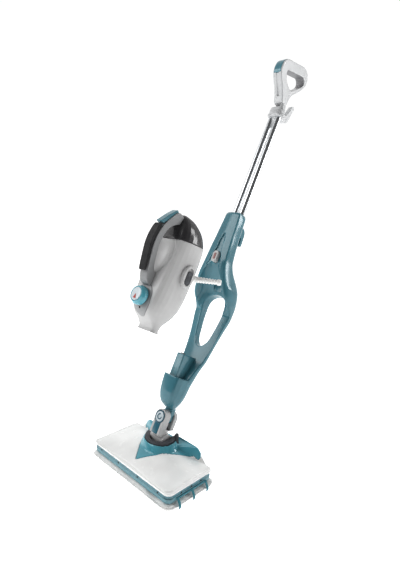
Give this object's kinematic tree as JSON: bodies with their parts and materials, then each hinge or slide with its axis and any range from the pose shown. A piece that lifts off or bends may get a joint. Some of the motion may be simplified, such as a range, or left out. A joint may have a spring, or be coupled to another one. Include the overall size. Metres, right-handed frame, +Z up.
{
  "type": "steam mop",
  "caption": "Upright steam mop with a loop handle on twin tubes, an open-frame body with a dock for a lift-off hand-held steamer, a two-axis neck and a flat padded head.",
  "frame": {"origin": "centre of the sole on the floor, under the middle of the pad", "axes": "+X across the mop's width to its own left, -Y towards its front, +Z up from the floor"},
  "size_m": [0.319, 0.6499, 1.0974],
  "materials": {
    "teal_plastic": "gloss teal moulding",
    "deep_teal_plastic": "darker teal moulding",
    "white_plastic": "gloss white moulding",
    "light_grey_plastic": "satin light grey moulding",
    "silver_grey_plastic": "satin silver grey moulding",
    "grey_plastic": "satin mid grey moulding",
    "dark_plastic": "fine matt dark grey moulding",
    "black_soft_grip": "soft-touch black",
    "black_rubber": "black seal rubber",
    "smoke_tank": "smoked tank plastic, high gloss",
    "microfibre": "white looped microfibre",
    "teal_elastic": "woven elastic",
    "red_plastic": "red marking plastic",
    "board": "green circuit board",
    "chrome_tube": "polished thin-wall tube",
    "steel": "plain steel",
    "brass": "plain brass"
  },
  "bodies": {
    "head": {"mop_pad": "microfibre", "pad_loops_left": "teal_elastic", "pad_loops_right": "teal_elastic", "base_tray": "teal_plastic", "steam_rails": "steel", "head_shell": "white_plastic", "head_cover": "teal_plastic", "neck_saddle": "dark_plastic", "tilt_axle_left": "steel", "tilt_axle_right": "steel"},
    "neck": {"neck_fork": "light_grey_plastic", "fork_inlay": "deep_teal_plastic", "badge_ring": "deep_teal_plastic", "badge_disc": "white_plastic", "swing_pin": "steel", "neck_hose": "black_rubber"},
    "body": {"body_front_shell": "teal_plastic", "body_rear_shell": "teal_plastic", "body_screw_1": "steel", "body_screw_2": "steel", "body_screw_3": "steel", "body_screw_4": "steel", "dock_spigot": "teal_plastic", "spigot_seal": "black_rubber", "steam_riser": "brass", "tube_socket": "dark_plastic", "pole_tube_left": "chrome_tube", "pole_tube_right": "chrome_tube", "handle_collar": "light_grey_plastic", "handle_frame": "light_grey_plastic", "handle_grip": "grey_plastic", "handle_cap": "teal_plastic", "release_spring": "steel"},
    "release": {"release_button": "light_grey_plastic", "release_mark": "red_plastic", "release_latch": "grey_plastic"},
    "lower_hook": {"lower_cord_hook": "teal_plastic"},
    "upper_hook": {"upper_cord_hook": "light_grey_plastic"},
    "steamer": {"steamer_shell_left": "light_grey_plastic", "steamer_shell_right": "light_grey_plastic", "water_tank": "smoke_tank", "tank_cap": "dark_plastic", "tank_valve": "black_rubber", "steamer_handle": "silver_grey_plastic", "steamer_grip": "black_soft_grip", "dial_panel": "grey_plastic", "led_lens": "dark_plastic", "side_boss": "light_grey_plastic", "strain_relief": "white_plastic", "mouth_nozzle": "brass", "boiler": "steel", "pump": "dark_plastic", "pump_tube": "black_rubber", "water_tube": "black_rubber", "circuit_board": "board"},
    "dial": {"steam_dial": "teal_plastic", "dial_face": "white_plastic", "dial_pointer": "red_plastic"},
    "trigger": {"steam_button": "teal_plastic"},
    "slider": {"boss_slider": "dark_plastic"}
  },
  "joints": [
    {"name": "neck_tilt", "type": "hinge", "parent": "head", "child": "neck", "pos_m": [0, 0.03068, 0.07614], "axis": [-1, 0, 0], "range_deg": [-26.7, 45]},
    {"name": "neck_swing", "type": "hinge", "parent": "neck", "child": "body", "pos_m": [0, 0.046, 0.1244], "axis": [0, -0.8934, 0.4493], "range_deg": [-40, 40]},
    {"name": "steamer_slide", "type": "slide", "parent": "body", "child": "steamer", "axis": [0, -0.5699, 0.8217], "range_m": [-0.1674, 0]},
    {"name": "release_press", "type": "slide", "parent": "body", "child": "release", "axis": [0, 0.8934, -0.4493], "range_m": [0, 0.004], "stiffness_N_per_m": 400, "springref_m": -0.003},
    {"name": "lower_hook_swivel", "type": "hinge", "parent": "body", "child": "lower_hook", "pos_m": [0, 0.29399, 0.60413], "axis": [0, -0.8934, 0.4493], "range_deg": [0, 180]},
    {"name": "upper_hook_swivel", "type": "hinge", "parent": "body", "child": "upper_hook", "pos_m": [0, 0.45579, 0.94363], "axis": [0, -0.8934, 0.4493], "range_deg": [0, 180]},
    {"name": "dial_turn", "type": "hinge", "parent": "steamer", "child": "dial", "pos_m": [0, -0.04489, 0.46114], "axis": [0, -0.8934, 0.4493], "range_deg": [-135, 135]},
    {"name": "trigger_press", "type": "slide", "parent": "steamer", "child": "trigger", "axis": [0, 0.4113, -0.9115], "range_m": [0, 0.0022], "stiffness_N_per_m": 500, "springref_m": -0.003},
    {"name": "slider_push", "type": "slide", "parent": "steamer", "child": "slider", "axis": [0, 0.4493, 0.8934], "range_m": [0, 0.006], "stiffness_N_per_m": 200, "springref_m": -0.004}
  ]
}
